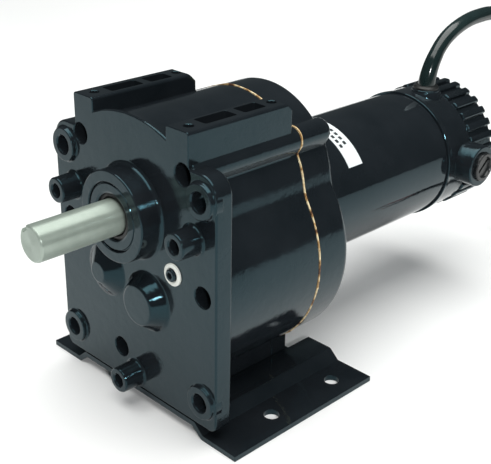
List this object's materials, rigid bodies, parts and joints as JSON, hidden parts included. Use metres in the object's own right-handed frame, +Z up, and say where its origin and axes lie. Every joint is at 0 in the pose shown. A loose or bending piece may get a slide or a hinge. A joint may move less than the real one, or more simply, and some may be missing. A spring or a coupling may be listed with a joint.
{
  "type": "geared dc motor",
  "caption": "Parallel-shaft DC gearmotor: cast gear case with keyed output shaft, permanent-magnet motor behind it, pressed base plate and flying lead.",
  "frame": {"origin": "centre of the bounding box's underside, on the plane that the base plate stands on", "axes": "+Z up, -Y along the output shaft towards its free end, +Y towards the motor's end bell, +X to the right seen from the shaft end"},
  "size_m": [0.1745, 0.4134, 0.1763],
  "materials": {
    "cast_paint": "gloss black paint on castings",
    "can_paint": "gloss black paint on a drawn steel tube",
    "base_paint": "gloss black paint on pressed sheet steel",
    "shaft_steel": "ground, satin",
    "bearing_steel": "ground",
    "gear_steel": "hobbed, oiled",
    "lamination": "stamped stack",
    "copper": "varnished",
    "bronze": "sintered",
    "black_screw": "black oxide",
    "bolt_steel": "zinc plated",
    "magnet": "ferrite",
    "nylon": "natural",
    "carbon": "pressed carbon",
    "cap_plastic": "moulded",
    "seal_rubber": "moulded",
    "gasket": "fibre",
    "label_film": "satin film",
    "cable_jacket": "gloss jacket",
    "lead_red": "insulated wire",
    "lead_black": "insulated wire"
  },
  "bodies": {
    "frame": {"front_housing": "cast_paint", "rear_cover": "cast_paint", "end_bell": "cast_paint", "motor_can": "can_paint", "base_plate": "base_paint", "output_bearing_outer": "bearing_steel", "motor_front_bearing_outer": "bearing_steel", "motor_rear_bearing_outer": "bearing_steel", "output_rear_bush": "bronze", "idler_1_front_bush": "bronze", "idler_1_rear_bush": "bronze", "idler_2_front_bush": "bronze", "idler_2_rear_bush": "bronze", "case_screw_1": "black_screw", "case_screw_2": "black_screw", "case_screw_3": "black_screw", "case_screw_4": "black_screw", "case_screw_5": "black_screw", "base_screw_1": "black_screw", "base_screw_2": "black_screw", "base_screw_3": "black_screw", "base_screw_4": "black_screw", "oil_plug": "black_screw", "through_bolt_1": "bolt_steel", "through_bolt_2": "bolt_steel", "brush_spring_right": "bolt_steel", "brush_spring_left": "bolt_steel", "magnet_right": "magnet", "magnet_left": "magnet", "oil_plug_washer": "nylon", "brush_holder_right": "nylon", "brush_holder_left": "nylon", "brush_right": "carbon", "brush_left": "carbon", "brush_cap_right": "cap_plastic", "brush_cap_left": "cap_plastic", "output_oil_seal": "seal_rubber", "cable_grommet": "seal_rubber", "case_gasket": "gasket", "rating_label": "label_film", "supply_cable": "cable_jacket", "lead_positive": "lead_red", "lead_negative": "lead_black"},
    "output": {"output_shaft": "shaft_steel", "output_bearing_inner": "bearing_steel", "output_gear": "gear_steel"},
    "idler_1": {"idler_1_shaft": "gear_steel", "idler_1_gear": "gear_steel", "idler_1_pinion": "gear_steel"},
    "idler_2": {"idler_2_shaft": "gear_steel", "idler_2_gear": "gear_steel", "idler_2_pinion": "gear_steel"},
    "armature": {"motor_shaft": "gear_steel", "motor_pinion": "gear_steel", "armature_stack": "lamination", "winding_front": "copper", "winding_rear": "copper", "commutator": "copper", "motor_front_bearing_inner": "bearing_steel", "motor_rear_bearing_inner": "bearing_steel"}
  },
  "joints": [
    {"name": "output_spin", "type": "hinge", "parent": "frame", "child": "output", "pos_m": [0, -0.10725, 0.1135], "axis": [0, 1, 0], "continuous": true},
    {"name": "idler_1_spin", "type": "hinge", "parent": "frame", "child": "idler_1", "pos_m": [0.0123, -0.10725, 0.06633], "axis": [0, 1, 0], "continuous": true},
    {"name": "idler_2_spin", "type": "hinge", "parent": "frame", "child": "idler_2", "pos_m": [-0.02221, -0.10725, 0.07215], "axis": [0, 1, 0], "continuous": true},
    {"name": "armature_spin", "type": "hinge", "parent": "frame", "child": "armature", "pos_m": [0, -0.10725, 0.0892], "axis": [0, 1, 0], "continuous": true}
  ],
  "couplings": [
    {"joint": "idler_1_spin", "follows": "output_spin", "ratio": -3.6429},
    {"joint": "idler_2_spin", "follows": "output_spin", "ratio": 10.929},
    {"joint": "armature_spin", "follows": "output_spin", "ratio": -32.786}
  ]
}
